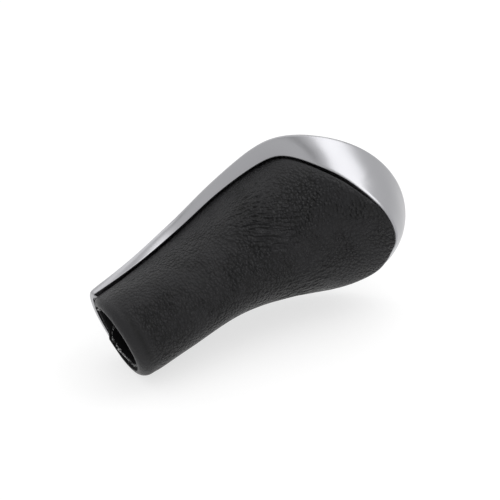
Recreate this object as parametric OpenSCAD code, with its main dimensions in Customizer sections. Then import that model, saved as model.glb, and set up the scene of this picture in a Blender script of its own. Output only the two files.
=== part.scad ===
// Gear shift knob: a leather head on a straight neck, in a teardrop frame of satin metal.
// It is pushed on to a plain 12 mm lever from below. The mouth of the neck lies in the plane
// z = 0, +Z runs up the lever's axis, the framed face looks to -Y and the palm side to +Y.

/* [Height] */
// Height of the frame's edge at the crown, above the mouth
knob_h = 89; // [86:0.5:94]
// Height of the widest place of the head
head_z = 65.5; // [63:0.5:67]

/* [Outline from the front] */
// Room left round the socket's tube, inside the neck
neck_room = 0.4; // [0.35:0.05:0.6]
// How much wider than the neck's end the frame is, a quarter of the way up to the head
low_flare = 1.6; // [1:0.1:2]
// How much wider than the neck's end the frame is, half of the way up to the head
waist_flare = 5.1; // [4.6:0.1:6]
// Width across the frame three quarters of the way up to the head
shoulder_w = 40.8; // [40.4:0.4:42.8]
// Width across the frame at the head
head_w = 54; // [52:0.2:56]
// How full the round of the crown is, where 2 is an ellipse
crown_fill = 1.95; // [1.85:0.05:2.1]

/* [Face in side view] */
// Reach of the face in front of the lever's axis at the mouth
face_tail = 15; // [14.6:0.1:15.2]
// Reach of the face a quarter of the way up to the head
face_low = 16.5; // [16.1:0.1:17]
// Reach of the face half of the way up to the head
face_waist = 19.4; // [18.6:0.2:19.8]
// Reach of the face three quarters of the way up to the head
face_shoulder = 19.6; // [18.8:0.2:20]
// Reach of the face at the head
face_head = 13.4; // [13:0.2:14.6]
// Reach of the face on the brow, between the head and the crown
face_brow = -0.6; // [-1:0.2:0.6]
// How far the crown lies behind the lever's axis
crown_back = 14; // [13:0.2:14.6]
// Radius of the face across the neck, at the mouth
face_tail_r = 11.3; // [11:0.1:11.8]
// Radius of the face across the head
face_head_r = 31; // [30:1:38]

/* [Palm side in side view] */
// Reach of the leather behind the axis at the mouth
palm_tail = 14.5; // [14.2:0.1:14.8]
// Reach of the leather a quarter of the way up to the head
palm_low = 15.6; // [15.2:0.1:16]
// Reach of the leather half of the way up to the head
palm_waist = 15.3; // [14.8:0.1:15.8]
// Reach of the leather three quarters of the way up to the head
palm_shoulder = 16.1; // [15.9:0.2:17.3]
// Reach of the leather at the head
palm_head = 19.6; // [19.3:0.2:21.3]
// How full the leather's cross section is at the mouth, where 2 is round
oval_tail = 2.1; // [1.9:0.05:2.2]
// How full the leather's cross section is from the waist up
oval = 2.2; // [2.1:0.05:2.4]
// Height of the rounded lip at the frame
lip_side_h = 3; // [2.6:0.1:3.6]
// Height of the rounded lip on the palm side
lip_back_h = 5; // [4:0.1:5.5]
// Where across the lip its lowest line runs, from the mouth at 0 to the outside at 1
lip_ridge = 0.45; // [0.4:0.05:0.55]

/* [Frame] */
// Thickness of the frame's front rim
rim_t = 1.6; // [1.4:0.1:1.8]
// Width of the front rim round the insert
rim_w = 3.2; // [2.8:0.1:3.8]
// Thickness of the frame's side band
band_t = 1.8; // [1.5:0.1:2]
// Depth of the side band at its tail
band_tail = 2.2; // [2.1:0.1:2.6]
// Depth of the side band at the waist
band_waist = 2.1; // [1.8:0.1:2.4]
// Depth of the side band at the shoulder
band_shoulder = 2.1; // [1.9:0.1:2.6]
// Depth of the side band at the head
band_head = 2.4; // [2.1:0.1:2.7]
// Depth of the side band at the crown
band_crown = 18; // [17.2:0.2:18.8]
// How far the side band leans in at the waist
lean_waist = 2.2; // [1.8:0.1:2.4]
// How far the side band leans in at the shoulder
lean_shoulder = 3.4; // [3.4:0.1:4.6]
// How far the side band leans in at the head
lean_head = 5.2; // [4.6:0.1:5.5]
// How far the side band leans in at the crown
lean_crown = 5.1; // [4.8:0.1:5.8]
// Height of the frame's cut end above the mouth
tail_z = 1.1; // [0.7:0.1:1.6]
// Height of the lower end of the frame's opening
window_z = 25; // [22:0.5:28]

/* [Leather] */
// Thickness of the leather
leather_t = 1.2; // [1:0.1:1.4]
// Gap between the leather and the frame's band
joint_gap = 0.5; // [0.4:0.05:0.7]
// Length of leather tucked in under the band
tuck = 2.4; // [2:0.1:2.8]
// Height of the leather's hem inside the mouth
hem_h = 9; // [8:0.5:9.5]
// Diameter of the leather lined mouth
mouth_d = 17.7; // [17.2:0.1:17.8]

/* [Inner shell and insert] */
// Wall of the shell under the leather
shell_t = 1.5; // [1.4:0.1:1.7]
// Wall of the plate under the insert's leather
insert_t = 1.8; // [1.6:0.1:2]
// How far the insert's plate reaches in behind the rim
insert_lap = 0.4; // [0.3:0.05:0.5]

/* [Socket] */
// Diameter of the lever that the knob is pushed on to
lever_d = 12; // [11:0.1:12.2]
// Wall of the lever sleeve
sleeve_t = 1.5; // [1.3:0.1:1.6]
// Length of the lever sleeve
sleeve_l = 34; // [32:0.5:36]
// Wall of the socket tube round the sleeve
tube_t = 1.3; // [1.2:0.1:1.4]
// Diameter of the screws that hold the shell
screw_d = 2.5; // [2.2:0.1:2.8]

/* [Hidden] */
glue = 0.05;
fit_gap = 0.2;
eps = 0.01;
head_r = head_w / 2;
crown_h = knob_h - head_z;
mouth_r = mouth_d / 2;
// The neck is as wide as the walls round the lever need
neck_w = lever_d + 2 * (sleeve_t + fit_gap + tube_t + neck_room + shell_t + leather_t);

// Curves through a few knots. A knot is [place, value], and its slope follows its neighbours.

function slope(k, i) = (k[min(i + 1, len(k) - 1)][1] - k[max(i - 1, 0)][1])
    / (k[min(i + 1, len(k) - 1)][0] - k[max(i - 1, 0)][0]);
function span(k, x, i = 0) = i >= len(k) - 2 || x < k[i + 1][0] ? i : span(k, x, i + 1);
function curve(k, x) = let (
    i = span(k, x),
    h = k[i + 1][0] - k[i][0],
    t = (x - k[i][0]) / h)
    k[i][1] * (2 * t * t * t - 3 * t * t + 1) + k[i + 1][1] * (3 * t * t - 2 * t * t * t)
    + h * slope(k, i) * (t * t * t - 2 * t * t + t) + h * slope(k, i + 1) * (t * t * t - t * t);
function unit(v) = v / norm(v);
function mix(a, b, t) = a + (b - a) * t;

// Outline of the frame seen from the front: straight neck and flared head, with a round crown.

width_knots = [[0, neck_w / 2], [head_z / 4, (neck_w + low_flare) / 2],
    [head_z / 2, (neck_w + waist_flare) / 2], [head_z * 3 / 4, shoulder_w / 2], [head_z, head_r],
    [head_z * 5 / 4, shoulder_w / 2]];
function half_w(z) = z <= head_z ? curve(width_knots, z)
    : head_r * pow(max(0, 1 - pow((z - head_z) / crown_h, crown_fill)), 1 / crown_fill);

// The face is a crest line in side view, rounded across with a radius that grows up the neck.

brow_share = 0.55;
brow_z = head_z + crown_h * brow_share;
crest_knots = [[0, -face_tail], [head_z / 4, -face_low], [head_z / 2, -face_waist],
    [head_z * 3 / 4, -face_shoulder], [head_z, -face_head], [brow_z, -face_brow],
    [knob_h, crown_back]];
face_r_bend = 1.6;
function face_r(z) = mix(face_tail_r, face_head_r, pow(min(1, max(0, z) / head_z), face_r_bend));
function face_y(x, z) = curve(crest_knots, z) + x * x / (2 * face_r(z));
function face_normal(x, z) = unit([
    x / face_r(z),
    -1,
    (face_y(x, z) - face_y(x, z - 1))]);
// A point of the face seen at x, z, and sunk by the depth d along the face's normal
function face(x, z, d = 0) = [x, face_y(x, z), z] - face_normal(x, z) * d;

// Stations along one half of the frame. Up to station 1 they climb the neck, then they turn
// over the crown, which station 2 reaches.

function filled(v, fill) = sign(v) * pow(abs(v), 2 / fill);
function station_z(s) = s <= 1 ? mix(tail_z, head_z, s)
    : head_z + crown_h * filled(sin(90 * (s - 1)), crown_fill);
function edge_x(s) = s <= 1 ? half_w(station_z(s))
    : s >= 2 ? 0 : head_r * filled(cos(90 * (s - 1)), crown_fill);
function edge(s) = face(edge_x(s), station_z(s));

// The side band runs back from the edge to the joint with the leather.

waist_s = 0.45;
shoulder_s = 0.75;
// The values at half a station before the crown, repeated behind it for a level end
brow_depth = band_crown * 0.6;
brow_lean = (lean_head + lean_crown) / 2;
lean_tail = 0.2;
depth_knots = [[0, band_tail], [waist_s, band_waist], [shoulder_s, band_shoulder], [1, band_head],
    [1.5, brow_depth], [2, band_crown], [2.5, brow_depth]];
lean_knots = [[0, lean_tail], [waist_s, lean_waist], [shoulder_s, lean_shoulder], [1, lean_head],
    [1.5, brow_lean], [2, lean_crown], [2.5, brow_lean]];
// The angle by which the leather turns in from its widest place to the joint
turn_knots = [[0, 28], [0.5, 24], [1, 16], [1.5, 6], [2, 0]];

// What a station carries: the edge, the joint, the way straight out of the band, the way
// along the band to the edge, and the leather's own way out at the joint

function ahead(p, q, s) = s >= 2 ? [-1, 0, 0] : unit(q - p);
function joint_at(s, e, dir) = let (
    z = station_z(s),
    rise = face_y(half_w(z), z) - face_y(half_w(z - 1), z - 1),
    plate = unit([0, -1, rise]),
    p = e - plate * curve(depth_knots, s) - unit(cross(dir, plate)) * curve(lean_knots, s))
    s >= 2 ? [0, p.y, p.z] : p;
function joint(s) = let (e = edge(s)) joint_at(s, e, ahead(e, edge(s + step), s));
function station(s) = let (
    e = edge(s),
    dir = ahead(e, edge(s + step), s),
    j = joint_at(s, e, dir),
    j_dir = ahead(j, joint(s + step), s),
    band = unit(e - j),
    out = cross(dir, band))
    [e, j, unit(s >= 2 ? [0, out.y, out.z] : out), band, unit([j_dir.z, 0, -j_dir.x]),
        curve(turn_knots, s)];
EDGE = 0;
JOINT = 1;
OUT = 2;
BAND = 3;
SIDE = 4;
TURN = 5;
step = 0.01;
neck_n = 12;
crown_n = 11;
// The steps are closer near the crown
crown_bend = 0.8;
climb = [for (i = [0:neck_n]) i / neck_n, for (i = [1:crown_n]) 1 + pow(i / crown_n, crown_bend)];
stations = [for (s = climb) station(s)];

// Solids made of rows of points. Points that coincide make no face.

function apart(a, b, c) = norm(a - b) > eps / 10 && norm(b - c) > eps / 10 && norm(a - c) > eps / 10;
function quad(p, a, b, c, d) = concat(
    apart(p[a], p[b], p[c]) ? [[c, b, a]] : [],
    apart(p[a], p[c], p[d]) ? [[d, c, a]] : []);
// Half a row, from x > 0 round to x = 0, and its mirror image
function whole(half) = concat(half, [for (i = [len(half) - 2:-1:0]) [-half[i].x, half[i].y, half[i].z]]);

// A sheet between an outer and an inner grid, whose side edges are open from row open_from up
module sheet(outer, inner, open_from = 0) {
    n = len(outer);
    m = len(outer[0]);
    p = [for (row = concat(outer, inner)) each row];
    b = n * m;
    skin = [for (i = [0:n - 2], j = [0:m - 2])
        each concat(
            quad(p, i * m + j, i * m + j + 1, (i + 1) * m + j + 1, (i + 1) * m + j),
            quad(p, b + i * m + j, b + (i + 1) * m + j, b + (i + 1) * m + j + 1, b + i * m + j + 1))];
    sides = [for (i = [open_from:1:n - 2])
        each concat(
            quad(p, i * m, (i + 1) * m, b + (i + 1) * m, b + i * m),
            quad(p, (i + 1) * m - 1, b + (i + 1) * m - 1, b + (i + 2) * m - 1, (i + 2) * m - 1))];
    start = [for (j = [0:m - 2]) each quad(p, j, b + j, b + j + 1, j + 1)];
    polyhedron(p, concat(skin, sides, start), convexity = 8);
}

// The palm side below the joint. Each row is a half oval at one height, from the joint's
// leather edge round to the crest of the palm side, at the depth d under the surface.

top = stations[len(stations) - 1];
palm_over = 0.8;
palm_knots = [[0, palm_tail], [head_z / 4, palm_low], [head_z / 2, palm_waist],
    [head_z * 3 / 4, palm_shoulder], [head_z, palm_head], [top[JOINT].z, top[JOINT].y + palm_over]];
palm_n = 12;
tuck_n = 3;
function leather_edge(t, d) = t[JOINT] - (t[OUT] + t[BAND]) * joint_gap
    - (t[SIDE] + t[BAND]) * d / (1 + t[SIDE] * t[BAND]);
function palm_y(z, d) = curve(palm_knots, z) - d;
// Under the surface the rows end sooner, in one point below the crown's joint
function tip(d) = let (q = leather_edge(top, d)) [0, min(q.y, palm_y(q.z, d)), q.z];
palm_least = 0.6;
function ends(t, d) = let (q = leather_edge(t, d)) q.y > palm_y(q.z, d) - palm_least;
function oval_at(z) = mix(oval_tail, oval, min(1, z / head_z * 2));
// The share f runs from the edge, which lies the angle t[TURN] under the widest place
function palm(t, f, d) = let (
    q = leather_edge(t, d),
    back = palm_y(q.z, d),
    o = oval_at(q.z),
    k = filled(sin(t[TURN]), o),
    mid = (q.y + back * k) / (1 + k),
    a = mix(-t[TURN], 90, f),
    x = q.x * filled(cos(a), o) / filled(cos(t[TURN]), o))
    [f >= 1 ? 0 : x, mid + (back - mid) * filled(sin(a), o), q.z];
// The edge tucked in under the band, shorter at the crown, where the two sides meet
tuck_end = 0.3;
tuck_rise = 0.18;
function tucked(t, f, d) = let (
    j = leather_edge(t, d),
    q = j - t[OUT] * max(tuck_end, min(tuck, tuck_end + j.x * tuck_rise) - d) * f)
    [max(0, q.x), q.y, q.z];
function palm_half(t, d) = ends(t, d) ? [for (j = [0:tuck_n + palm_n]) tip(d)] : concat(
    [for (i = [tuck_n:-1:1]) tucked(t, i / tuck_n, d)],
    [for (j = [0:palm_n]) palm(t, j / palm_n, d)]);

// The lip at the mouth: each point of the first row is led round the end of the tube
// and up into the mouth, so that the ring stands on a flat.

half_n = tuck_n + palm_n;
lip_front = 4.2;
front_r = mouth_r + lip_front;
lip_side = -34;
lip_step = 0.6;
// Over 1, so that a strip of the lip is level
foot = 1.06;
function front_point(j) = let (a = mix(-90, lip_side, j / (tuck_n - 1)))
    (front_r - lip_step * j) * [cos(a), sin(a)];
lip_row = [for (j = [0:half_n], p = [palm_half(stations[0], 0)[j]]) j < tuck_n ? front_point(j) : [p.x, p.y]];
function lip_h(j) = mix(lip_side_h, lip_back_h, pow(max(0, j - tuck_n) / palm_n, 2));
function lip(j, a, d) = let (
    w = norm(lip_row[j]) - mouth_r,
    r = a < 90 ? w * (1 - lip_ridge) : w * lip_ridge,
    q = unit(lip_row[j]) * (mouth_r + w * lip_ridge + (r - d) * cos(a)))
    [j % half_n == 0 ? 0 : q.x, q.y, lip_h(j) - (lip_h(j) - d) * min(1, foot * sin(a))];
function lip_half(a, d) = [for (j = [0:half_n]) lip(j, a, d)];
function raised(half, z) = [for (p = half) [p.x, p.y, z]];
function lifted(half, h) = [for (p = half) [p.x, p.y, p.z + h]];

// The angles of the lip's rows, up inside the mouth and down outside it
lip_up = [150, 108];
lip_down = [72, 40, 18];
// A soft crease runs round the neck above the lip, in the leather's outer side alone
crease_d = 0.2;
crease_w = 2.2;
function crease_rows(d) = [
    whole(lip_half(0, d > 0 ? d : crease_d)),
    whole(lifted(lip_half(0, d), crease_w))];
// Up to here the leather and the shell close the neck in front too
ring_top = hem_h + 0.5;
function ring_half(d) = [for (j = [0:half_n], p = [j < tuck_n ? lip(j, 0, d) : palm_half(stations[1], d)[j]])
    [p.x, p.y, ring_top]];
function palm_rows(d) = [for (i = [2:len(stations) - 1]) whole(palm_half(stations[i], d))];
function leather_rows(d) = concat(
    [whole(raised(lip_half(180, d), hem_h)), whole(lip_half(180, d))],
    [for (a = concat(lip_up, lip_down)) whole(lip_half(a, d))],
    crease_rows(d),
    [whole(ring_half(d))],
    palm_rows(d));

module leather_cover() {
    // The rows of the hem, the crease and the ring are closed as well as the lip's
    color("#2b2a2c") sheet(leather_rows(0), leather_rows(leather_t),
        open_from = len(lip_up) + len(lip_down) + 4);
}

// The shell that the leather is wrapped on: a closed ring at the mouth, open in front above it
shell_d = leather_t + glue;
shell_down = concat(lip_down, 0);
shell_up = [108, 130, 150, 180];
shell_outer = concat(
    [for (a = shell_down) whole(lip_half(a, shell_d))],
    [whole(ring_half(shell_d))],
    palm_rows(shell_d));
shell_inner = concat(
    [for (a = shell_up) whole(lip_half(a, shell_d))],
    [whole(raised(lip_half(180, shell_d), ring_top))],
    palm_rows(shell_d + shell_t));

module back_shell() {
    color("#3a3a3c") {
        sheet(shell_outer, shell_inner, open_from = len(shell_up));
        for (z = screw_heights) boss(z);
    }
}

// The frame's window, seen from the front, from its round lower end over to the crown.
// The share u runs from 0 at the bottom to 1 at the top, and g widens the outline.

window_round = 9;
side_u = 0.2;
crown_u = 0.65;
// The rim over the crown, as a share of the rim beside the insert
crown_rim = 0.8;
function window_z_at(u, g) = u < side_u ? window_z - g + (window_round + g) * (1 - cos(90 * u / side_u))
    : u < crown_u ? mix(window_z + window_round, head_z, (u - side_u) / (crown_u - side_u))
    : head_z + (crown_h - rim_w * crown_rim + g) * sin(90 * (u - crown_u) / (1 - crown_u));
function window(u, g = 0) = let (
    z = window_z_at(u, g),
    x = u < crown_u ? half_w(z) - rim_w + g : (head_r - rim_w + g) * cos(90 * (u - crown_u) / (1 - crown_u)))
    [u >= 1 ? 0 : u < side_u ? x * sin(90 * u / side_u) : x, z];

// The frame: one section led once round the window. Over the neck and the head the section
// is a rim and a side band, and along the cut end it is the flat of the front plate.

edge_round = 0.6;
band_swell = 0.05;
cut_n = 5;
function plan(p) = [p.x, p.z];
function on_face(q, d = 0) = face(q.x, q.y, d);
front_shares = [0.35, 0.7, 1];
back_shares = [1, 0.66, 0.33, 0];
function rim_front(a, w) = let (f = edge_round / norm(w - a))
    [for (k = concat(f, front_shares)) on_face(mix(a, w, k))];
function rim_back(a, w) = [for (k = back_shares) on_face(mix(a, w, k), rim_t)];
// The inner corner, where the backs of the rim and the band meet, seen from the front. It
// stays on the rim's back, at most this share of the rim's width from the edge.
corner_share = 0.8;
function corner(t) = let (
    e = t[EDGE],
    n = face_normal(e.x, e.z),
    c = n * t[OUT],
    in = plan((t[OUT] * (band_t - rim_t * c) + n * (rim_t - band_t * c)) / (1 - c * c) - n * rim_t))
    plan(e) - in * min(1, rim_w * corner_share / norm(in));
// At the cut end the inner corner is lifted, which leaves a wall across the end of the band
end_wall = 1.2;
function rail_section(t, w, lift = 0) = let (
    e = t[EDGE],
    j = t[JOINT],
    back = rim_back(corner(t) + [0, lift], w),
    j_in = j - t[OUT] * band_t + [0, 0, lift])
    concat(
        [j, mix(j, e, 0.5) + t[OUT] * norm(e - j) * band_swell, e - t[BAND] * edge_round],
        rim_front(plan(e), w),
        back,
        [mix(back[3], j_in, 0.5), j_in]);
// The section over the cut end has as many points as the rail's
cut_edge = 0.1;
cut_shares = [0.04, 0.02];
cut_back = 0.06;
function cut_section(a, w) = concat(
    [for (d = [rim_t, rim_t / 2, cut_edge]) on_face(a, d)],
    rim_front(a, w),
    rim_back(mix(a, w, cut_back), w),
    [for (k = cut_shares) on_face(mix(a, w, k), rim_t)]);
cut_u = 0.12;
function window_share(s) = lookup(s, [[0, cut_u], [0.5, side_u], [1, crown_u], [2, 1]]);
frame_half = concat(
    [for (i = [0:cut_n - 1]) cut_section([edge_x(0) * i / cut_n, tail_z], window(cut_u * i / cut_n))],
    [for (i = [0:len(climb) - 1])
        rail_section(stations[i], window(window_share(climb[i])), i == 0 ? end_wall : 0)]);
function mirrored(section) = [for (p = section) [-p.x, p.y, p.z]];
frame_ring = concat(frame_half, [for (i = [len(frame_half) - 2:-1:1]) mirrored(frame_half[i])]);

module trim_frame() {
    n = len(frame_ring);
    m = len(frame_ring[0]);
    p = [for (section = frame_ring) each section];
    faces = [for (i = [0:n - 1], j = [0:m - 1]) let (a = (i + 1) % n * m, b = (j + 1) % m)
        each quad(p, i * m + j, a + j, a + b, i * m + b)];
    color("#c4c5c8") polyhedron(p, faces, convexity = 8);
}

// The insert: a plate behind the rim, and the leather on it, inside the window

insert_shares = concat([for (i = [0:4]) side_u * i / 4],
    [for (i = [1:7]) mix(side_u, crown_u, i / 7)],
    [for (i = [1:6]) mix(crown_u, 1, i / 6)]);
insert_n = 5;
function insert_row(u, g, d) = let (q = window(u, g))
    whole([for (j = [0:insert_n]) on_face([q.x * (1 - j / insert_n), q.y], d)]);
function insert_rows(g, d) = [for (u = insert_shares) insert_row(u, g, d)];
plate_d = rim_t + glue;
bevel = 3;

module insert_leather() {
    color("#2b2a2c") sheet(insert_rows(-fit_gap, rim_t), insert_rows(-fit_gap, rim_t - leather_t));
}

module insert_carrier() {
    color("#4a4a4c") {
        sheet(insert_rows(insert_lap - bevel, plate_d + insert_t), insert_rows(insert_lap, plate_d));
        for (z = hook_heights, side = [1, -1]) hook(side, z);
    }
}

// A snap hook on the insert's plate, through a slot of the socket's plate and behind it
hook_x = 6.8;
hook_t = 1.6;
hook_w = 4;
barb = 1;
barb_l = 2;
module hook(side, z) {
    y0 = face_y(hook_x, z) + plate_d + insert_t / 2;
    y1 = web_y + web_t + fit_gap;
    y2 = y1 + barb_l;
    outline = [[0, y0], [hook_t, y0], [hook_t, y1], [hook_t + barb, y1], [hook_t, y2], [0, y2]];
    translate([0, 0, z - hook_w / 2]) linear_extrude(hook_w)
        polygon([for (q = outline) [side * (hook_x + q.x), q.y]]);
}

// The socket: a blind tube for the lever's sleeve, and a plate for the screws and hooks

sleeve_r = lever_d / 2 + sleeve_t;
tube_r = sleeve_r + fit_gap + tube_t;
tube_z = ring_top + fit_gap;
tube_top = tube_z + sleeve_l + fit_gap;
cap_t = 2;
web_t = 2.5;
web_y = -3.5;
web_margin = 11;
web_corner = 3;
web_sink = 4;
web_rise = 1.5;
web_step = 0.5;
web_half = head_r - web_margin - web_corner;
// The plate ends below the place where the back of the insert's plate comes up to it
insert_back = [for (h = [0:web_step:crown_h * 2]) let (p = face(web_half, knob_h - h, plate_d + insert_t))
    if (p.y < web_y - fit_gap) p.z];
web_z = [tube_top - web_sink, min(head_z + web_rise, insert_back[0])];
// Heights on the plate, as shares of its free length over the tube
function web_heights(shares) = [for (k = shares) mix(tube_top + cap_t, web_z[1], k)];
rib_x = 4.6;
rib_t = 1.6;
rib_depth = 6;
rib_sink = 2;
// How far a cutting body reaches past what it cuts
over = 1;
screw_heights = web_heights([0.37, 0.84]);
hook_heights = web_heights([0.2, 0.72]);
module web_outline() {
    n = 8;
    side = [for (i = [0:n]) let (z = mix(web_z[0], web_z[1], i / n))
        [half_w(z) - web_margin - (i == n ? web_corner : 0), z]];
    polygon(concat(side, [for (i = [n:-1:0]) [-side[i].x, side[i].y]]));
}
// Anything drawn in the XZ plane, given a thickness from y up
module upright(y, t) {
    translate([0, y + t, 0]) rotate([90, 0, 0]) linear_extrude(t) children();
}
module socket_carrier() {
    color("#5b5c60") difference() {
        union() {
            translate([0, 0, tube_z]) cylinder(r = tube_r, h = tube_top + cap_t - tube_z, $fn = 48);
            upright(web_y, web_t) web_outline();
            for (side = [1, -1])
                translate([side * rib_x - rib_t / 2, web_y + web_t - eps, tube_top - rib_sink])
                    cube([rib_t, rib_depth, web_z[1] - tube_top]);
        }
        translate([0, 0, tube_z - over])
            cylinder(r = sleeve_r + fit_gap, h = tube_top - tube_z + over, $fn = 48);
        for (z = screw_heights) translate([0, web_y - over, z]) rotate([-90, 0, 0])
            cylinder(d = screw_d + fit_gap, h = web_t + 2 * over, $fn = 24);
        for (z = hook_heights, side = [1, -1])
            translate([side * (hook_x + (hook_t + barb) / 2), web_y + web_t / 2, z])
                cube([hook_t + barb + 2 * fit_gap, web_t + over, hook_w + 2 * fit_gap], center = true);
    }
}

// The split sleeve that grips the lever, and the spring ring round its fingers

flange_t = 1;
lead_in = 0.6;
slot_w = 1.2;
slot_l = 15;
groove_z = tube_z + sleeve_l * 0.8;
groove_h = 1.8;
ring_t = 0.6;
module lever_sleeve() {
    color("#d9d6cc") difference() {
        union() {
            translate([0, 0, tube_z - flange_t]) cylinder(r = mouth_r - 2 * fit_gap, h = flange_t, $fn = 48);
            translate([0, 0, tube_z - eps]) cylinder(r = sleeve_r, h = sleeve_l, $fn = 48);
        }
        translate([0, 0, tube_z - flange_t - over])
            cylinder(d = lever_d, h = flange_t + sleeve_l + 2 * over, $fn = 48);
        translate([0, 0, tube_z - flange_t - eps])
            cylinder(r1 = lever_d / 2 + lead_in, r2 = lever_d / 2, h = lead_in, $fn = 48);
        translate([0, 0, groove_z]) difference() {
            cylinder(r = sleeve_r + over, h = groove_h, $fn = 48);
            translate([0, 0, -over]) cylinder(r = sleeve_r - ring_t, h = groove_h + 2 * over, $fn = 48);
        }
        for (a = [45, 135]) rotate([0, 0, a]) translate([0, 0, tube_z + sleeve_l])
            cube([2 * (sleeve_r + over), slot_w, 2 * slot_l], center = true);
    }
}

ring_open = 40;
ring_room = 0.1;
module retaining_ring() {
    color("#a9abad") translate([0, 0, groove_z + ring_room]) rotate([0, 0, 90 + ring_open / 2])
        rotate_extrude(angle = 360 - ring_open, $fn = 48)
            translate([sleeve_r - ring_t + glue, 0]) square([ring_t, groove_h - 2 * ring_room]);
}

// Screws from the front through the plate into the shell's bosses

head_d = screw_d * 1.9;
head_h = 1.6;
screw_l = 9;
tip_l = 1;
tip_d = screw_d * 0.3;
// The cross in the head
drive_l = head_d * 0.62;
drive_w = 0.7;
drive_depth = 0.8;
module screw() {
    rotate([-90, 0, 0]) difference() {
        union() {
            translate([0, 0, -head_h]) cylinder(d = head_d, h = head_h, $fn = 24);
            translate([0, 0, -eps]) cylinder(d = screw_d, h = screw_l - tip_l, $fn = 24);
            translate([0, 0, screw_l - tip_l - 2 * eps])
                cylinder(d1 = screw_d, d2 = tip_d, h = tip_l, $fn = 24);
        }
        translate([0, 0, -head_h]) for (a = [0, 90]) rotate([0, 0, a])
            cube([drive_l, drive_w, 2 * drive_depth], center = true);
    }
}
module carrier_screws() {
    color("#9a9ca0") for (z = screw_heights) translate([0, web_y, z]) screw();
}
// A boss of the shell, from its back wall to the plate, drilled for a screw
boss_r = 3;
module boss(z) {
    back = palm_y(z, shell_d + shell_t / 2);
    front = web_y + web_t + glue;
    translate([0, front, z]) rotate([-90, 0, 0]) difference() {
        cylinder(r = boss_r, h = back - front, $fn = 32);
        translate([0, 0, -over]) cylinder(d = screw_d + fit_gap / 2, h = screw_l + over, $fn = 24);
    }
}

leather_cover();
back_shell();
trim_frame();
insert_carrier();
insert_leather();
socket_carrier();
lever_sleeve();
retaining_ring();
carrier_screws();
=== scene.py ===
# %% [markdown]
# # A gear shift knob
#
# The knob has a leather covered palm side, a frame of satin metal round its face, and a hollow
# neck that goes over the gear lever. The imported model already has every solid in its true
# place, so this lesson adds what a camera sees: smooth curves, leather grain and wrinkles, the
# cut edge of the leather at the mouth, satin metal, a floor, two lamps, a grey card and the
# camera. Blender's own unit is the metre, and so is the model's.

# %% Load the frame
import math
import random

import bmesh
import bpy
from mathutils import Matrix, Vector, noise
from mathutils.bvhtree import BVHTree


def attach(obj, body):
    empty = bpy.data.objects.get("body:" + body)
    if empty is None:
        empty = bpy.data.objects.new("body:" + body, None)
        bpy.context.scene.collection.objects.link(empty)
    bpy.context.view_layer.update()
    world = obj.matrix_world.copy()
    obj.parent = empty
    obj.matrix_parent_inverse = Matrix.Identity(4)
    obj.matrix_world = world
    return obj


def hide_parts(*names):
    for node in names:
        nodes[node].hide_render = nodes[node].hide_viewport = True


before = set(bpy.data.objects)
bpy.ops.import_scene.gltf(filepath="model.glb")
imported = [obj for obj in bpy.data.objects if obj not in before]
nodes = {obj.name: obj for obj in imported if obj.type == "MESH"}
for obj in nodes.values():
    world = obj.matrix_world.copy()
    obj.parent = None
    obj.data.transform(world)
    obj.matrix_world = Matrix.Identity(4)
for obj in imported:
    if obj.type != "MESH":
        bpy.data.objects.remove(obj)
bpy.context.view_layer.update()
mm = 0.001
print("nodes:", ", ".join(sorted(nodes)))

# %% [markdown]
# ## Objects and their data
#
# All that is seen in Blender is an object that holds some data: a mesh, a lamp or a camera. An
# object shows only once it is linked to the scene's collection. Two helpers do that here, one
# for any data and one for a shape that was built as a bmesh.

# %% Helpers that make an object
def new_object(name, data):
    made = bpy.data.objects.new(name, data)
    bpy.context.scene.collection.objects.link(made)
    return made


def mesh_object(name, bm):
    mesh = bpy.data.meshes.new(name)
    bm.to_mesh(mesh)
    bm.free()
    return new_object(name, mesh)

# %% [markdown]
# ## Camera
#
# In the photograph the knob lies on its left side, with the mouth towards the lower left. The
# model keeps its own frame, upright on its mouth, so the camera is turned instead. It stands
# 0.7 m away with a long lens, as one does for a small product. A camera looks along its own -Z,
# so its turn is a matrix with the picture's right, its top and the way back as columns.

# %% Camera
picture_right = Vector((-0.3613, 0.4421, 0.821)).normalized()
rough_top = Vector((0.7778, -0.3427, 0.5269))
eye = Vector((366.35, 589.5, -110.95)) * mm
film_width, lens_length = 36, 182.98
nearest, farthest = 0.01, 10

way_back = picture_right.cross(rough_top).normalized()
picture_top = way_back.cross(picture_right)
turn = Matrix((picture_right, picture_top, way_back)).transposed()
camera = new_object("camera", bpy.data.cameras.new("camera"))
camera.matrix_world = Matrix.Translation(eye) @ turn.to_4x4()
camera.data.sensor_width = film_width
camera.data.lens = lens_length
camera.data.clip_start, camera.data.clip_end = nearest, farthest
bpy.context.scene.camera = camera
print("camera", round(eye.length, 2), "m away")

# %% [markdown]
# ## From facets to smooth sheets
#
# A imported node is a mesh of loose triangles. A copy is welded at its corners, and pairs of
# triangles are joined into the four sided faces of the loft that made them. Subdivision then
# rounds the copy. Four sided faces matter, because on triangles the rounding makes dimples.

# %% A welded, four sided copy of a node
weld_distance = 0.002 * mm
most_bend, most_skew = math.radians(60), math.radians(70)


def welded_copy(name):
    bm = bmesh.new()
    bm.from_mesh(nodes[name].data)
    bmesh.ops.remove_doubles(bm, verts=bm.verts, dist=weld_distance)
    bmesh.ops.join_triangles(
        bm, faces=bm.faces, cmp_seam=False, cmp_sharp=False, cmp_uvs=False,
        cmp_vcols=False, cmp_materials=False,
        angle_face_threshold=most_bend, angle_shape_threshold=most_skew)
    sides = [len(f.verts) for f in bm.faces]
    print(name, "welded:", len(bm.verts), "corners,", sides.count(4), "four sided,",
          sides.count(3), "three sided")
    return bm

# %% [markdown]
# Subdivision can stay on a piece as a modifier, which keeps its mesh light. Where the smooth
# points themselves are to be moved, as on the leather, it has to be baked into the mesh first.
# A crease value on an edge holds that edge back from being rounded away.

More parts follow.
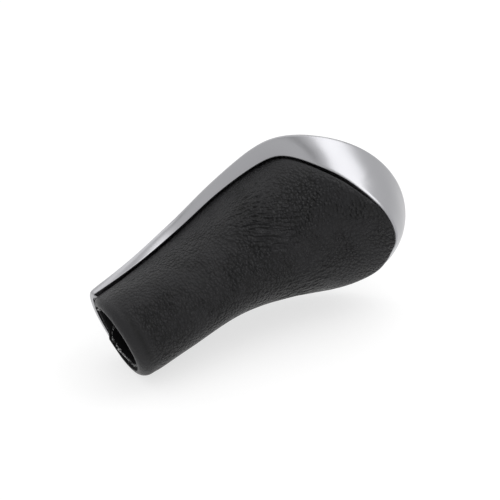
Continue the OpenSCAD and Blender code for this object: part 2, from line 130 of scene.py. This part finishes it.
# %% Rounding, kept in the mesh or left as a modifier
def crease_sharp_edges(bm, angle, sharpness):
    layer = bm.edges.layers.float.get("crease_edge") or bm.edges.layers.float.new("crease_edge")
    for e in bm.edges:
        if len(e.link_faces) == 2 and e.calc_face_angle() > math.radians(angle):
            e[layer] = sharpness


def add_rounding(piece, levels):
    rounding = piece.modifiers.new("rounding", "SUBSURF")
    rounding.levels = rounding.render_levels = levels


def rounded(bm, levels):
    holder = mesh_object("rounding", bm)
    mesh = holder.data
    add_rounding(holder, levels)
    shaped = holder.evaluated_get(bpy.context.evaluated_depsgraph_get())
    bm = bmesh.new()
    bm.from_mesh(shaped.to_mesh())
    bpy.data.objects.remove(holder)
    bpy.data.meshes.remove(mesh)
    bm.normal_update()
    print("rounded to", len(bm.faces), "faces")
    return bm


def finish_piece(bm, name, stands_for, levels=0):
    for f in bm.faces:
        f.smooth = True
    piece = mesh_object(name, bm)
    if levels:
        add_rounding(piece, levels)
    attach(piece, "root")
    if stands_for:
        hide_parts(stands_for)
    return piece

# %% [markdown]
# ## The leather of the palm side
#
# A wrapped hide isn't a perfect loft. Where the neck flares into the head it is pressed
# together, and small slanting wrinkles stand on it. Cloth simulation could make them, but this
# hide is stretched tight over a hard shell and hardly moves. So every point is moved along its
# normal by smooth noise. A bump map alone would leave the outline too clean.
#
# Ridges come from noise folded at zero: one minus twice its size is high along thin lines. The
# noise is read at places that are squeezed along the wrinkles, which draws them out long.

# %% Soft masks and ridges
wrinkle_way = Vector((-0.3613, 0.4421, 0.821)).normalized()


def smooth_step(a, b, x):
    t = max(0.0, min(1.0, (x - a) / (b - a)))
    return t * t * (3 - 2 * t)


def near(point, centre, inner, outer):
    return 1 - smooth_step(inner, outer, (point - Vector(centre) * mm).length / mm)


def ridges(point, size, longer):
    squeezed = point - wrinkle_way * (point.dot(wrinkle_way) * (1 - 1 / longer))
    return 1 - 2 * abs(noise.noise(squeezed / (size * mm)))

# %% [markdown]
# The wrinkles stand at four places on the flare and, weaker, at two on the head, the same on
# both sides. A slow swell keeps the rest from being perfect. Above the lip at the mouth the
# hide sinks in a soft fold, on the palm side only. The hidden inner faces of the cover are left
# alone: a mask asks how far each face looks away from the lever's axis.

# %% How far the leather moves
# Places, heights, sizes and reaches are in millimetres. fold_y, fold_x and axis_top are metres,
# and outer_face is the cosine of the angle between the normal and straight out.
flare_places = [(14.8, 6.0, 49.0), (10.0, 14.5, 52.0), (-10.0, 14.5, 52.0), (-14.8, 6.0, 49.0)]
flare_height, flare_size, flare_longer, flare_reach = 0.15, 2.2, 3.5, (3, 11)
head_places = [(8.0, 21.0, 68.0), (-8.0, 21.0, 68.0)]
head_height, head_size, head_longer, head_reach = 0.05, 1.8, 1.2, (2, 9)
swell_height, swell_size = 0.06, 9
fold_depth, fold_at, fold_width = 0.22, 3.8, 1.0
fold_y, fold_x = (-0.002, 0.008), (-0.009, -0.003)
axis_top, outer_face = 0.06, (0.1, 0.5)


def faces_out(co, normal):
    axis = Vector((0, 0, min(co.z, axis_top)))
    return normal.dot((co - axis).normalized())


def leather_shift(co, normal):
    flare = max(near(co, c, *flare_reach) for c in flare_places)
    head = max(near(co, c, *head_reach) for c in head_places)
    shift = flare_height * flare * ridges(co, flare_size, flare_longer)
    shift += head_height * head * ridges(co, head_size, head_longer)
    shift += swell_height * noise.noise(co / (swell_size * mm))
    palm = smooth_step(*fold_y, co.y) * smooth_step(*fold_x, co.x)
    shift -= fold_depth * palm * math.exp(-((co.z / mm - fold_at) / fold_width) ** 2)
    return shift * smooth_step(*outer_face, faces_out(co, normal)) * mm

# %% [markdown]
# ## The front of the mouth
#
# At the front of the mouth there is no leather, only the black plastic behind the frame. The
# cover's solid goes all the way round, so its front part is drawn up a little and gets the
# plastic's finish. Then the end of the metal frame shows below it. How far round this reaches
# was chosen for each side, from the outline in the photograph, so the two sides differ.

# %% Where the plastic shows, and the painted shade inside the mouth
# front_lift is in millimetres, the reaches are degrees round from the front, and front_fade,
# inner_r and inner_top are metres.
front_lift = 2.2
front_fade = (0.002, 0.006)
near_reach, far_reach = (26, 50), (8, 28)
inner_r, inner_top, looks_inward = 0.012, 0.011, -0.25
plastic_from = 0.4


def front_share(co):
    off_front = abs(math.degrees(math.atan2(co.y, co.x)) + 90)
    reach = near_reach if co.x > 0 else far_reach
    return (1 - smooth_step(*front_fade, co.z)) * (1 - smooth_step(*reach, off_front))


# The second finish: black plastic at the front, painted shade on the leather inside the mouth.
def takes_plastic_and_mouth_shade(face):
    c = face.calc_center_median()
    flat = Vector((c.x, c.y, 0))
    inward = face.normal.dot(flat.normalized()) < looks_inward
    inside = inward and flat.length < inner_r and c.z < inner_top
    return inside or front_share(c) > plastic_from

# %% [markdown]
# ## The leather at the joint
#
# Along the crown a dark line parts the leather from the metal. It is a real step there: the
# hide's outer face sinks a little next to the band. Its hidden inner edge is brought towards
# the band at the same time, so that nobody sees daylight through the joint from the side. Near
# the band the wrinkles die out, because the hide is pinched there.

# %% The leather, worked
# joint_sink and each fade, with calm_edge, are millimetres, the latter from the band. Heights
# and the spared half width of the crown's tip are metres, and hem_pull is a share of the way.
joint_sink, sink_fade, sink_face = 0.4, (0.5, 2.4), (-0.1, 0.4)
sink_from, tip_spared = (0.064, 0.076), (0.005, 0.010)
hem_pull, hem_fade, hem_face = 0.85, (0.9, 2.2), (-0.4, 0.3)
hem_from, calm_edge = (0.056, 0.064), (0.4, 1.6)

frame_mesh = welded_copy("trim_frame")
frame_tree = BVHTree.FromBMesh(frame_mesh)
frame_mesh.free()


def leather_move(v):
    band, _, _, gap = frame_tree.find_nearest(v.co)
    gap /= mm
    outward = faces_out(v.co, v.normal)
    sunk = joint_sink * (1 - smooth_step(*sink_fade, gap)) * smooth_step(*sink_from, v.co.z)
    sunk *= smooth_step(*sink_face, outward) * smooth_step(*tip_spared, abs(v.co.x))
    hem = (1 - smooth_step(*hem_face, outward)) * (1 - smooth_step(*hem_fade, gap))
    hem *= smooth_step(*hem_from, v.co.z)
    calm = smooth_step(*calm_edge, gap)
    return (v.normal * (leather_shift(v.co, v.normal) * calm - sunk * mm)
            + (band - v.co) * hem_pull * hem
            + Vector((0, 0, front_lift * mm * front_share(v.co))))


bm = rounded(welded_copy("leather_cover"), 2)
moves = [leather_move(v) for v in bm.verts]
for v, move in zip(bm.verts, moves):
    v.co += move
bm.normal_update()
for f in bm.faces:
    f.material_index = int(takes_plastic_and_mouth_shade(f))
leather_tree = BVHTree.FromBMesh(bm)
print("leather moved by up to", round(max(m.length for m in moves) / mm, 2), "mm,",
      sum(f.material_index for f in bm.faces), "faces of lining")
leather = finish_piece(bm, "palm_leather", "leather_cover")

# %% [markdown]
# ## The metal frame
#
# The frame is one loft, and its edges are only lightly broken, so they get a middling crease.
# At its cut end, low on the neck, they are crisp and get a crease near one.

# %% The metal frame, creased
cut_end_top, cut_end_crease = 12 * mm, 0.92

bm = welded_copy("trim_frame")
crease_sharp_edges(bm, angle=40, sharpness=0.55)
crease_edge = bm.edges.layers.float["crease_edge"]
cut_end = [e for e in bm.edges
           if e[crease_edge] > 0 and min(v.co.z for v in e.verts) < cut_end_top]
for e in cut_end:
    e[crease_edge] = cut_end_crease
print("frame:", len(cut_end), "crisp edges at the cut end")
trim = finish_piece(bm, "metal_frame", "trim_frame", levels=3)

# %% [markdown]
# ## The cut edge of the leather
#
# The leather ends at the mouth in a raw edge, paler than its dyed face. Paint on the leather
# could show it, but the edge stands a little proud. So a short line is spun round the mouth into
# a narrow strip, once for each side, and every point is brought to the nearest place on the
# leather. The strip tapers towards the palm side, where the edge is tucked in.

# %% Strips of raw leather
# Angles, as strip_from, strip_turn and strip_taper, are degrees, and lengths are millimetres.
rim_r = 8.7
strip_from, strip_turn, strip_steps = -47, 49, 20
strip_foot, strip_width, strip_rise = 0.6, 1.1, 0.1
strip_taper, strip_wave, wave_pace, side_shift = (-44, 2), 0.18, 0.35, 5.0
strip_height, strip_lift, strip_thickness = 0.5, 0.05, 0.1


def onto_leather(co, lift):
    place, normal = leather_tree.find_nearest(co)[:2]
    return place + normal * lift * mm


def at(angle, radius, height):
    a = math.radians(angle)
    return Vector((radius * math.cos(a), radius * math.sin(a), height)) * mm


bm = bmesh.new()
for side in (1, -1):
    inner = at(strip_from, rim_r, strip_foot)
    outer = inner + at(strip_from, strip_width, strip_rise)
    ends = [bmesh.ops.create_vert(bm, co=co)["vert"][0] for co in (inner, outer)]
    line = bm.edges.new(ends)
    bmesh.ops.spin(bm, geom=ends + [line], cent=(0, 0, 0), axis=(0, 0, 1),
                   angle=math.radians(strip_turn), steps=strip_steps, use_merge=False)
    for v in [v for v in bm.verts if not v.tag]:
        angle = math.degrees(math.atan2(v.co.y, v.co.x))
        share = 1 - smooth_step(*strip_taper, angle)
        flat = Vector((v.co.x, v.co.y, 0))
        wave = strip_wave * noise.noise(Vector((angle * wave_pace, side * side_shift, 0)))
        radius = rim_r * mm + (flat.length - rim_r * mm) * share + wave * mm * share
        spot = flat.normalized() * radius + Vector((0, 0, strip_height * mm))
        v.co = onto_leather(spot, strip_lift)
        v.co.x *= side
        v.tag = True
bmesh.ops.recalc_face_normals(bm, faces=bm.faces)
bmesh.ops.solidify(bm, geom=bm.faces, thickness=strip_thickness * mm)
print("raw strips:", len(bm.faces), "faces")
strips = finish_piece(bm, "raw_leather_edge", None)

# %% [markdown]
# Loose fibres stand on the same edge, most of them on the far rim. Hair particles would be
# heavy for this few. Each fibre is a thin four sided cone that leans along the rim, and a slow
# noise leaves bare stretches between the tufts. The seed makes every run give the same fibres.

# %% Loose fibres
# The arcs are degrees, and lengths are millimetres. fibre_climb and fibre_spread say how far a
# fibre leans up and out for each step along the rim.
fibre_count, fibre_seed = 220, 11
far_arc, near_arc = (118, 262), (-46, 4)
tuft_pace, tuft_row, tuft_limit = 0.12, 3, -0.12
fibre_r, fibre_height, fibre_lift = (rim_r, 9.2), (0.3, 1.0), 0.04
fibre_climb, fibre_spread = (-0.6, 0.6), (-0.3, 0.3)
fibre_length, fibre_root, fibre_tip = (0.3, 0.95), (0.05, 0.1), 0.015

random.seed(fibre_seed)
bm = bmesh.new()
count = 0
while count < fibre_count:
    angle = random.choice([random.uniform(*far_arc), random.uniform(*near_arc),
                           random.uniform(*near_arc) + 180, random.uniform(*far_arc)])
    if noise.noise(Vector((angle * tuft_pace, tuft_row, 0))) < tuft_limit:
        continue
    foot = at(angle, random.uniform(*fibre_r), random.uniform(*fibre_height))
    foot.z += front_lift * mm * front_share(foot)
    foot = onto_leather(foot, fibre_lift)
    way = at(angle + 90, 1, random.uniform(*fibre_climb))
    way += at(angle, random.uniform(*fibre_spread), 0)
    length = random.uniform(*fibre_length) * mm
    lean = way.to_track_quat("Z", "Y").to_matrix().to_4x4()
    bmesh.ops.create_cone(bm, cap_ends=True, segments=4,
                          radius1=random.uniform(*fibre_root) * mm, radius2=fibre_tip * mm,
                          depth=length, matrix=Matrix.Translation(foot) @ lean)
    count += 1
print("fibres:", count)
fibres = finish_piece(bm, "loose_fibres", None)

# %% [markdown]
# ## The leather of the face
#
# The face inside the frame is out of the photograph's view. It is a plain piece of the same
# leather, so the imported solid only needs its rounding, with its rim kept by a crease.

# %% The leather of the face
bm = welded_copy("insert_leather")
crease_sharp_edges(bm, angle=50, sharpness=0.55)
insert = finish_piece(bm, "face_leather", "insert_leather", levels=2)
print("face leather:", len(insert.data.polygons), "faces before rounding")

# %% [markdown]
# ## Materials
#
# A material is a small net of nodes that ends in one shader. Wiring them by hand takes many
# lines, so a few helpers do it. All patterns read Object coordinates, which lie in the model's
# own metres, so a grain has its true size: a scale of 1000 gives detail about a millimetre wide.

# %% Helpers that wire nodes
def new_material(name):
    mat = bpy.data.materials.new(name)
    mat.use_nodes = True
    tree = mat.node_tree
    tree.nodes.clear()
    out = tree.nodes.new("ShaderNodeOutputMaterial")
    shader = tree.nodes.new("ShaderNodeBsdfPrincipled")
    tree.links.new(shader.outputs[0], out.inputs["Surface"])
    return mat, tree, shader


def node(tree, kind, links=(), **values):
    made = tree.nodes.new("ShaderNode" + kind)
    for key, value in values.items():
        setattr(made, key, value)
    for socket, source in links:
        if isinstance(source, bpy.types.NodeSocket):
            tree.links.new(source, made.inputs[socket])
        else:
            made.inputs[socket].default_value = source
    return made


def math_node(tree, operation, a, b):
    return node(tree, "Math", [(0, a), (1, b)], operation=operation).outputs[0]


def remapped(tree, value, low, high, to_low, to_high):
    return node(tree, "MapRange", [("Value", value), ("From Min", low), ("From Max", high),
                                   ("To Min", to_low), ("To Max", to_high)]).outputs[0]


def noise_node(tree, place, scale, detail):
    return node(tree, "TexNoise", [("Vector", place), ("Scale", scale),
                                   ("Detail", detail)]).outputs[0]


def bump_node(tree, height, strength, distance):
    return node(tree, "Bump", [("Height", height), ("Strength", strength),
                               ("Distance", distance)]).outputs[0]


def two_tints(tree, share, first, second):
    tint = node(tree, "Mix", [("Factor", share)], data_type="RGBA")
    tint.inputs[6].default_value = first + (1.0,)
    tint.inputs[7].default_value = second + (1.0,)
    return tint.outputs[2]


def paint(piece, *finishes):
    if len(piece.data.materials):
        piece.data.materials.clear()
    for finish in finishes:
        piece.data.materials.append(finish)
    print(piece.name, "has", ", ".join(finish.name for finish in finishes))

# %% [markdown]
# Leather grain is a field of small raised cells with creases between them, and a Voronoi
# texture gives such cells. Its own cells are too regular, so the place where it is read is
# pushed about by a slower noise first, and the cells are pressed a little flat.

# %% Pebbles
pebble_size, pebble_press = 0.00098, 1.3
warp_scale, warp_by = 420.0, 0.0009


def pebbles(tree, place):
    warp = node(tree, "TexNoise", [("Vector", place), ("Scale", warp_scale), ("Detail", 2.0)])
    moved = node(tree, "VectorMath", [(0, warp.outputs["Color"]), (1, (warp_by,) * 3)],
                 operation="MULTIPLY")
    spot = node(tree, "VectorMath", [(0, place), (1, moved.outputs[0])], operation="ADD")
    pressed = node(tree, "Mapping", [("Vector", spot.outputs[0]),
                                     ("Scale", (1, 1, pebble_press))])
    cells = node(tree, "TexVoronoi", [("Vector", pressed.outputs[0]),
                                      ("Scale", 1 / pebble_size)], feature="F1")
    return cells.outputs["Distance"]

# %% [markdown]
# The finest wrinkles are too small for the mesh. They are a noise that is drawn out along the
# same direction as the modelled ones, and that fades with the distance from its place. The
# Mapping node is of the texture kind, which turns first and scales after.

# %% Fine wrinkles round one place
ripple_longer, ripple_scale, ripple_reach, ripple_core = 4.5, 900.0, 0.011, 0.35


def wrinkles(tree, place, centre):
    to_way = Vector((1, 0, 0)).rotation_difference(wrinkle_way).to_euler()
    turned = node(tree, "Mapping", [("Vector", place), ("Rotation", to_way),
                                    ("Scale", (ripple_longer, 1, 1))], vector_type="TEXTURE")
    ripple = noise_node(tree, turned.outputs[0], ripple_scale, detail=1.0)
    away = node(tree, "VectorMath", [(0, place), (1, [c * mm for c in centre])],
                operation="DISTANCE")
    mask = remapped(tree, away.outputs["Value"], ripple_reach * ripple_core, ripple_reach,
                    1.0, 0.0)
    return math_node(tree, "MULTIPLY", ripple, mask)

# %% [markdown]
# The relief of the leather adds up the cells, a very fine tooth and the wrinkles. A slow noise
# makes the cells deeper in some patches, and over the lip at the mouth the hide is stretched
# nearly smooth.

# %% The relief of the leather
patch_range, patch_depth = (0.38, 0.62), (0.45, 1.0)
lip_range, lip_depth = (0.0035, 0.007), (0.12, 1.0)
tooth_scale, tooth_share, ripple_share = 3800.0, 0.25, 3.2
relief_distance = 0.00075


def worked_share(tree, patch, along_z):
    return math_node(tree, "MULTIPLY", remapped(tree, patch, *patch_range, *patch_depth),
                     remapped(tree, along_z, *lip_range, *lip_depth))


def leather_relief(tree, place, cells, worked):
    height = math_node(tree, "MULTIPLY", cells, -1.0)
    height = math_node(tree, "MULTIPLY", height, worked)
    tooth = noise_node(tree, place, tooth_scale, detail=3.0)
    height = math_node(tree, "ADD", height, math_node(tree, "MULTIPLY", tooth, tooth_share))
    for centre in flare_places:
        ripple = wrinkles(tree, place, centre)
        height = math_node(tree, "ADD", height,
                           math_node(tree, "MULTIPLY", ripple, ripple_share))
    return bump_node(tree, height, strength=1.0, distance=relief_distance)

# %% [markdown]
# ## Leather
#
# The hide is black with a trace of blue. Down in the creases and in the fold above the lip its
# colour is darkened as painted shade. Colour and relief read the same cells, so that they never
# drift apart. The gloss changes a little from patch to patch, as handling leaves it.

# %% Leather
crease_range = (0.15, 0.6)
fold_low, fold_high, fold_palm = (0.0022, 0.0036), (0.0038, 0.0056), (0.004, 0.011)
fold_shade, leather_rough, leather_gloss = 0.85, (0.42, 0.32), 0.22
patch_scale, gloss_range = 110.0, (0.3, 0.7)


# Painted shade: the colour is darkened down in the creases between the cells and in the fold
# above the lip.
def painted_shade_share(tree, cells, worked, split):
    depth = remapped(tree, cells, *crease_range, 0.0, 1.0)
    depth = math_node(tree, "MULTIPLY", depth, worked)
    below = remapped(tree, split.outputs[2], *fold_low, 0.0, fold_shade)
    above = remapped(tree, split.outputs[2], *fold_high, 1.0, 0.0)
    palm = remapped(tree, split.outputs[1], *fold_palm, 0.0, 1.0)
    fold = math_node(tree, "MULTIPLY", math_node(tree, "MULTIPLY", below, above), palm)
    return math_node(tree, "MAXIMUM", depth, fold)


def leather_material(name, top, crease):
    mat, tree, shader = new_material(name)
    place = node(tree, "TexCoord").outputs["Object"]
    split = node(tree, "SeparateXYZ", [("Vector", place)])
    patch = noise_node(tree, place, patch_scale, detail=2.0)
    cells = pebbles(tree, place)
    worked = worked_share(tree, patch, split.outputs[2])
    tree.links.new(leather_relief(tree, place, cells, worked), shader.inputs["Normal"])
    tree.links.new(remapped(tree, patch, *gloss_range, *leather_rough),
                   shader.inputs["Roughness"])
    tree.links.new(two_tints(tree, painted_shade_share(tree, cells, worked, split), top, crease),
                   shader.inputs["Base Color"])
    shader.inputs["Specular IOR Level"].default_value = leather_gloss
    return mat


# The crease colour is painted shade, for the creases and the fold above the lip.
black_leather = leather_material("black_leather", top=(0.0135, 0.0133, 0.0148),
                                 crease=(0.0015, 0.0015, 0.0018))
paint(insert, black_leather)

# %% [markdown]
# ## Satin metal
#
# The frame is blasted metal: it blurs what it reflects but stays clearly a metal. Roughness
# does most of that. A very fine bump stands for the blasting, and a slow noise makes the gloss
# a touch uneven, where hands have been.

# %% Satin metal
blast_scale, blast_strength, blast_distance = 5200.0, 0.12, 0.00002
handled_scale, handled_by = 90.0, 0.03


def satin_material(name, base, roughness):
    mat, tree, shader = new_material(name)
    place = node(tree, "TexCoord").outputs["Object"]
    blasted = noise_node(tree, place, blast_scale, detail=2.0)
    handled = noise_node(tree, place, handled_scale, detail=3.0)
    tree.links.new(bump_node(tree, blasted, blast_strength, blast_distance),
                   shader.inputs["Normal"])
    tree.links.new(remapped(tree, handled, *gloss_range, roughness - handled_by,
                            roughness + handled_by), shader.inputs["Roughness"])
    shader.inputs["Base Color"].default_value = base + (1.0,)
    shader.inputs["Metallic"].default_value = 1.0
    return mat


satin = satin_material("satin_metal", base=(0.36, 0.36, 0.375), roughness=0.33)
paint(trim, satin)

# %% [markdown]
# ## Inner pieces
#
# The shell, the carriers, the sleeve, the ring and the screws keep their imported shapes. They
# are plain plastic, nylon and steel with a fine moulded grain. The shell and the socket are
# black plastic, dull and near black, and that near black is partly painted shade, so that the
# open mouth reads as a dark hole.

# %% Inner pieces
mould_scale, mould_strength, mould_distance = 1500.0, 0.3, 0.00005


def plain_material(name, base, roughness, metallic=0.0, gloss=0.5):
    mat, tree, shader = new_material(name)
    place = node(tree, "TexCoord").outputs["Object"]
    grain = noise_node(tree, place, mould_scale, detail=4.0)
    tree.links.new(bump_node(tree, grain, mould_strength, mould_distance),
                   shader.inputs["Normal"])
    shader.inputs["Base Color"].default_value = base + (1.0,)
    shader.inputs["Roughness"].default_value = roughness
    shader.inputs["Metallic"].default_value = metallic
    shader.inputs["Specular IOR Level"].default_value = gloss
    return mat


# The near black of the shell and the socket is black plastic and partly painted shade.
inner_finishes = {
    "back_shell": plain_material("black_plastic_and_shade", (0.004, 0.004, 0.0043), 0.6, gloss=0.12),
    "insert_carrier": plain_material("grey_plastic", (0.03, 0.03, 0.032), 0.55),
    "socket_carrier": plain_material("socket_plastic", (0.004, 0.004, 0.0045), 0.55, gloss=0.12),
    "lever_sleeve": plain_material("sleeve_nylon", (0.05, 0.05, 0.05), 0.4),
    "retaining_ring": plain_material("spring_steel", (0.5, 0.5, 0.5), 0.35, metallic=1.0),
    "carrier_screws": plain_material("zinc_steel", (0.5, 0.5, 0.52), 0.4, metallic=1.0),
}
for name, mat in inner_finishes.items():
    paint(nodes[name], mat)

# %% [markdown]
# ## Plastic and painted shade in the mouth, and raw leather
#
# The leather piece holds two finishes. Its faces at the front got the second slot, a dull near
# black for the black plastic there, and its faces inside the mouth got it too, as painted shade.
# Where the hide is cut, its undyed inside shows: pale and dark specks in a noise with a hard
# step, very rough and slightly raised.

# %% Plastic and painted shade in the mouth, and raw leather
speck_scale, speck_range = 1900.0, (0.4, 0.6)
speck_strength, speck_distance, raw_rough = 0.6, 0.0001, 0.85


def raw_material(name, pale, dark):
    mat, tree, shader = new_material(name)
    place = node(tree, "TexCoord").outputs["Object"]
    specks = noise_node(tree, place, speck_scale, detail=2.0)
    share = remapped(tree, specks, *speck_range, 0.0, 1.0)
    tree.links.new(two_tints(tree, share, dark, pale), shader.inputs["Base Color"])
    tree.links.new(bump_node(tree, specks, speck_strength, speck_distance),
                   shader.inputs["Normal"])
    shader.inputs["Roughness"].default_value = raw_rough
    return mat


# Near black: black plastic at the front of the mouth, painted shade on the leather inside it.
plastic_and_mouth_shade = plain_material("black_plastic_and_mouth_shade", (0.0025, 0.0025, 0.0027), 0.75, gloss=0.05)
paint(leather, black_leather, plastic_and_mouth_shade)
raw_leather = raw_material("raw_leather", pale=(0.5, 0.5, 0.5), dark=(0.07, 0.07, 0.072))
paint(strips, raw_leather)
paint(fibres, raw_leather)

# %% [markdown]
# ## Floor
#
# The knob lies on its left side, so the floor is a tilted sheet beside the upright model. Seen
# from behind the sheet is clear, so the other views aren't blocked. Its whiteness is partly its
# own glow for the camera and for reflections, and the rest is light that falls on it, so the
# knob's soft shadow shows. The light that it throws back on the knob is that of a white floor.

# %% The shape of the floor
floor_up = Vector((0.96, 0.15, 0.237)).normalized()
floor_half = 1.5

lowest = min(v.co.dot(floor_up) for n in ("trim_frame", "leather_cover")
             for v in nodes[n].data.vertices)
bm = bmesh.new()
bmesh.ops.create_grid(bm, x_segments=1, y_segments=1, size=floor_half)
tilt = floor_up.to_track_quat("Z", "Y").to_matrix().to_4x4()
bmesh.ops.transform(bm, verts=bm.verts, matrix=Matrix.Translation(floor_up * lowest) @ tilt)
floor = mesh_object("floor", bm)
print("floor", round(-lowest / mm, 1), "mm from the lever's axis")

# %% The white of the floor
seen_white, thrown_white, glow, matt = 0.39, 0.85, 0.66, 0.9


def seen_directly(tree):
    ray = node(tree, "LightPath")
    seen = math_node(tree, "MAXIMUM", ray.outputs["Is Camera Ray"], ray.outputs["Is Glossy Ray"])
    return ray, math_node(tree, "MAXIMUM", seen, ray.outputs["Is Transmission Ray"])


mat, tree, shader = new_material("floor_white")
shader.inputs["Roughness"].default_value = matt
shader.inputs["Specular IOR Level"].default_value = 0.0
shader.inputs["Emission Color"].default_value = (1, 1, 1, 1)
ray, seen = seen_directly(tree)
white = remapped(tree, ray.outputs["Is Diffuse Ray"], 0.0, 1.0, seen_white, thrown_white)
tree.links.new(white, shader.inputs["Base Color"])
tree.links.new(math_node(tree, "MULTIPLY", seen, glow), shader.inputs["Emission Strength"])
clear = node(tree, "BsdfTransparent")
behind = node(tree, "NewGeometry").outputs["Backfacing"]
both = math_node(tree, "MULTIPLY", behind, ray.outputs["Is Camera Ray"])
mix = node(tree, "MixShader", [(0, both), (1, shader.outputs[0]), (2, clear.outputs[0])])
tree.links.new(mix.outputs[0], tree.nodes["Material Output"].inputs["Surface"])
paint(floor, mat)

# %% [markdown]
# ## World and lamps
#
# An even white world gives most of the light, at a level at which a colour renders about as it
# is written. Where the world is seen straight on or in a reflection it is full white. Two large
# soft lamps add the bright patches on the metal: a near one for the crown and a far one for the
# neck. A lamp's brightness is given as that of its disc, with white as 1, so its energy follows
# from its area. The camera doesn't see the lamps.

# %% World
thrown_level, seen_level = 0.9, 1.0

world = bpy.data.worlds.new("studio")
bpy.context.scene.world = world
world.use_nodes = True
bpy.context.scene.view_settings.view_transform = "Standard"
tree = world.node_tree
tree.nodes.clear()
_, seen = seen_directly(tree)
level = remapped(tree, seen, 0.0, 1.0, thrown_level, seen_level)
light = node(tree, "Background", [("Color", (1, 1, 1, 1)), ("Strength", level)])
node(tree, "OutputWorld", [("Surface", light.outputs[0])])
print("world light", thrown_level, "and seen as", seen_level)

# %% Lamps
def facing(target, direction, distance):
    direction = Vector(direction).normalized()
    return (Matrix.Translation(Vector(target) * mm + direction * distance)
            @ direction.to_track_quat("Z", "Y").to_matrix().to_4x4())


def lamp(name, target, direction, distance, size, brightness):
    data = bpy.data.lights.new(name, "AREA")
    data.shape = "DISK"
    data.size = size
    data.energy = brightness * math.pi * math.pi * (size / 2) ** 2
    made = new_object(name, data)
    made.matrix_world = facing(target, direction, distance)
    made.visible_camera = False
    print(name, "is", distance, "m from its place on the knob")


# Targets are places on the knob in millimetres. Distances and the discs' widths are metres.
lamp("head_lamp", target=(17, 15, 76), direction=(0.8, 0.36, 0.46), distance=0.085,
     size=0.108, brightness=1.8)
lamp("neck_lamp", target=(10, 3, 25), direction=(0.82, -0.52, 0.2), distance=0.3,
     size=0.2, brightness=0.7)

# %% [markdown]
# A photographer darkens one place on shiny metal with a card that stands outside the picture.
# A small grey card does that here for the shoulder of the frame. The camera doesn't see it.

# %% A dark card
card_r, card_grey = 0.017, 0.12

bm = bmesh.new()
bmesh.ops.create_circle(bm, cap_ends=True, segments=32, radius=card_r)
bmesh.ops.transform(bm, verts=bm.verts, matrix=facing(
    target=(24, 4, 70), direction=(0.88, 0.24, -0.42), distance=0.13))
card = mesh_object("dark_card", bm)
card.visible_camera = False
mat, tree, shader = new_material("card_grey")
shader.inputs["Base Color"].default_value = (card_grey, card_grey, card_grey, 1)
shader.inputs["Roughness"].default_value = matt
paint(card, mat)
